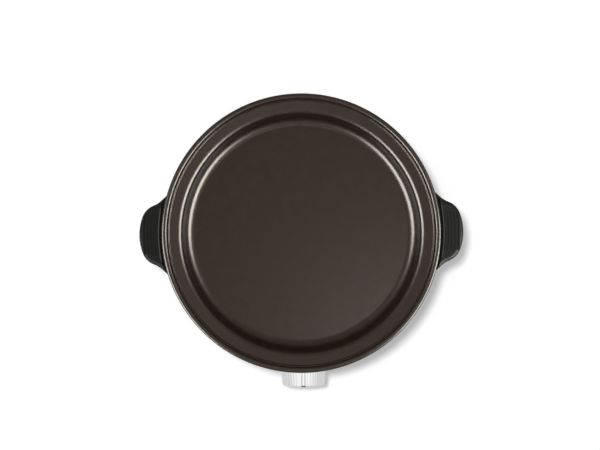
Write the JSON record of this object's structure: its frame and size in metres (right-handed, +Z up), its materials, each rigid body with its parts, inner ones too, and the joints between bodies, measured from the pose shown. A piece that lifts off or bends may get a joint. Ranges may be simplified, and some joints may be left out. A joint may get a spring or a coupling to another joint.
{
  "type": "egg cooker",
  "caption": "Small round electric egg cooker: coated dish with a stepped rim in a moulded housing, two side handles and a fluted heat-control knob at the front.",
  "frame": {"origin": "under the middle of the cooker's length and width, in the plane of the table that the rubber feet stand on; the dish's axis is 5.4 mm behind it, along +Y", "axes": "+Z up, -Y towards the control knob at the front, +X and -X along the two handles"},
  "size_m": [0.1862, 0.1708, 0.066],
  "materials": {
    "pan_coating": "satin non-stick coating, dark brown-black",
    "sheath_steel": "oxidised sheath",
    "ceramic_white": "fired ceramic",
    "terminal_brass": "plain",
    "shield_steel": "bright zinc-coated sheet",
    "screw_steel": "zinc-plated",
    "housing_plastic": "fine-grained black moulding",
    "handle_plastic": "satin black moulding",
    "foot_rubber": "matte",
    "bracket_steel": "pressed sheet",
    "bimetal": "rolled strip",
    "contact_bronze": "rolled strip",
    "lens_red": "clear red",
    "lamp_glass": "clear",
    "inlet_plastic": "moulded",
    "pin_nickel": "nickel-plated",
    "fuse_metal": "plain",
    "wire_brown": "silicone sleeve",
    "wire_blue": "silicone sleeve",
    "wire_green": "silicone sleeve",
    "lead_white": "glass-fibre sleeve",
    "knob_chrome": "bright plated plastic, fluted",
    "knob_core_plastic": "moulded",
    "spring_steel": "plain",
    "pointer_black": "black inlay",
    "spindle_steel": "turned"
  },
  "bodies": {
    "base": {"bimetal_blade": "bimetal", "bottom_cover": "housing_plastic", "contact_plate": "contact_bronze", "contact_spring": "contact_bronze", "cover_screws": "screw_steel", "earth_tag": "terminal_brass", "earth_wire": "wire_green", "element_end_beads": "ceramic_white", "element_terminals": "terminal_brass", "foot_front_left": "foot_rubber", "foot_front_right": "foot_rubber", "foot_rear_left": "foot_rubber", "foot_rear_right": "foot_rubber", "fuse_clip": "bracket_steel", "fused_wire": "wire_brown", "handle_screws": "screw_steel", "heat_shield": "shield_steel", "heating_element": "sheath_steel", "housing": "housing_plastic", "indicator_lamp": "lamp_glass", "indicator_lens": "lens_red", "inlet_pins": "pin_nickel", "inlet_socket": "inlet_plastic", "lamp_leads": "lead_white", "left_handle": "handle_plastic", "live_wire": "wire_brown", "neutral_wire": "wire_blue", "pan": "pan_coating", "pan_screws": "screw_steel", "right_handle": "handle_plastic", "spindle_bush": "terminal_brass", "stack_insulators": "ceramic_white", "stack_rivet": "screw_steel", "switched_wire": "wire_blue", "thermal_fuse": "fuse_metal", "thermostat_bracket": "bracket_steel", "underside_screws": "screw_steel"},
    "knob": {"knob_core": "knob_core_plastic", "knob_pointer": "pointer_black", "knob_sleeve": "knob_chrome", "knob_spring": "spring_steel", "thermostat_spindle": "spindle_steel"}
  },
  "joints": [
    {"name": "knob_turn", "type": "hinge", "parent": "base", "child": "knob", "pos_m": [0, -0.0712, 0.027], "axis": [0, 1, 0], "range_deg": [0, 270]}
  ]
}
